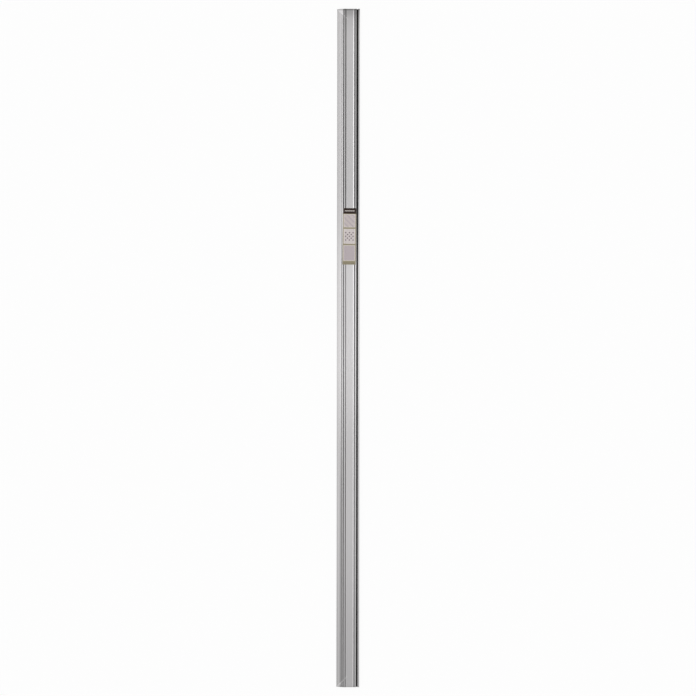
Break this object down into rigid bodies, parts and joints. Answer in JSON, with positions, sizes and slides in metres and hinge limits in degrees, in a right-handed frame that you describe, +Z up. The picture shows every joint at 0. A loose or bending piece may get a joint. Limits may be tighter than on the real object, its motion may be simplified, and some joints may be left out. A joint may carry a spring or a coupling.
{
  "type": "aluminium extrusion profile",
  "caption": "Long shallow aluminium sill profile with a ramped edge, recessed deck panel between grooved beads, undercut seal slot, cover lip and a paper label.",
  "frame": {"origin": "middle of the strip's underside, on the floor", "axes": "+Y along the length, towards the end nearer the label; +X across the section, from the ramp to the cover lip; +Z up from the floor"},
  "size_m": [0.08, 2.4, 0.0102],
  "materials": {
    "aluminium": "satin",
    "label_paper": "matte"
  },
  "bodies": {
    "root": {"profile": "aluminium", "label": "label_paper"}
  },
  "joints": []
}
